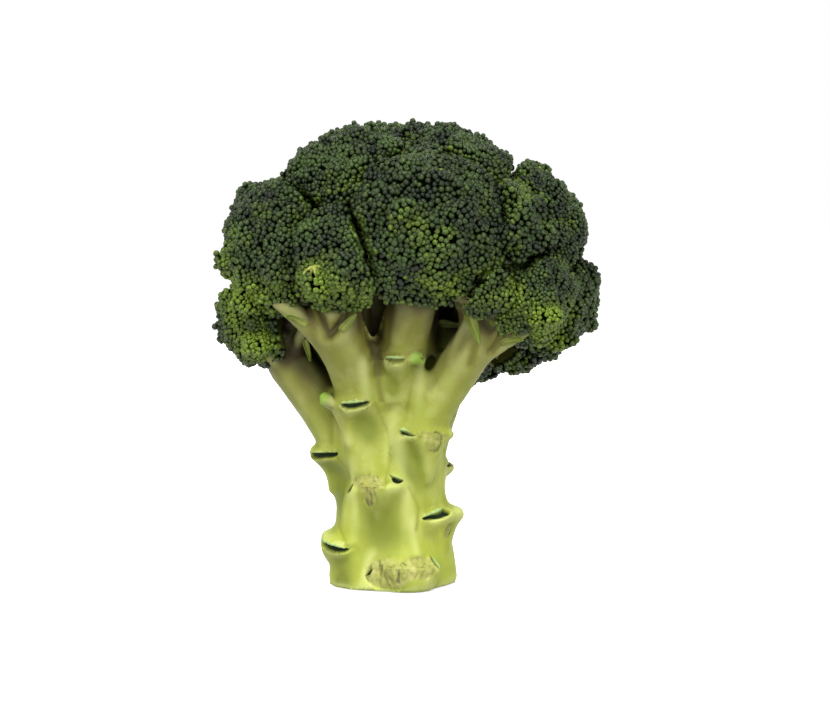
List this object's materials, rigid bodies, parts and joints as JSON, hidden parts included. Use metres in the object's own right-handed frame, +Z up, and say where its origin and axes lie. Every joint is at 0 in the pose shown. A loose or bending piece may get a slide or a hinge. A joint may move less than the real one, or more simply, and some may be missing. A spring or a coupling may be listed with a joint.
{
  "type": "broccoli head",
  "caption": "Whole head of broccoli on its cut stalk: a pale ribbed stalk with leaf scars forks into branches that carry domed, budded green florets.",
  "frame": {"origin": "centre of the stalk's cut end, on the flat face that the head stands on", "axes": "+Z up the stalk to the crown; -Y towards the side with the broadest floret; +X to the right of that side"},
  "size_m": [0.1473, 0.128, 0.174],
  "materials": {
    "stalk_skin": "satin, waxy plant skin",
    "buds": "matt, with a blue-grey waxy bloom"
  },
  "bodies": {
    "root": {"stalk": "stalk_skin", "floret_front_centre": "buds", "floret_front_left": "buds", "floret_front_right": "buds", "floret_front_low": "buds", "floret_left": "buds", "floret_left_low": "buds", "floret_left_back": "buds", "floret_top_left": "buds", "floret_top_right": "buds", "floret_top_back": "buds", "floret_right_upper": "buds", "floret_right": "buds", "floret_right_back": "buds", "floret_right_low": "buds", "floret_back_right_low": "buds", "floret_back_left": "buds", "floret_back_right": "buds", "floret_back_centre": "buds", "floret_back_low": "buds", "floret_back_left_low": "buds", "floret_left_back_low": "buds"}
  },
  "joints": []
}
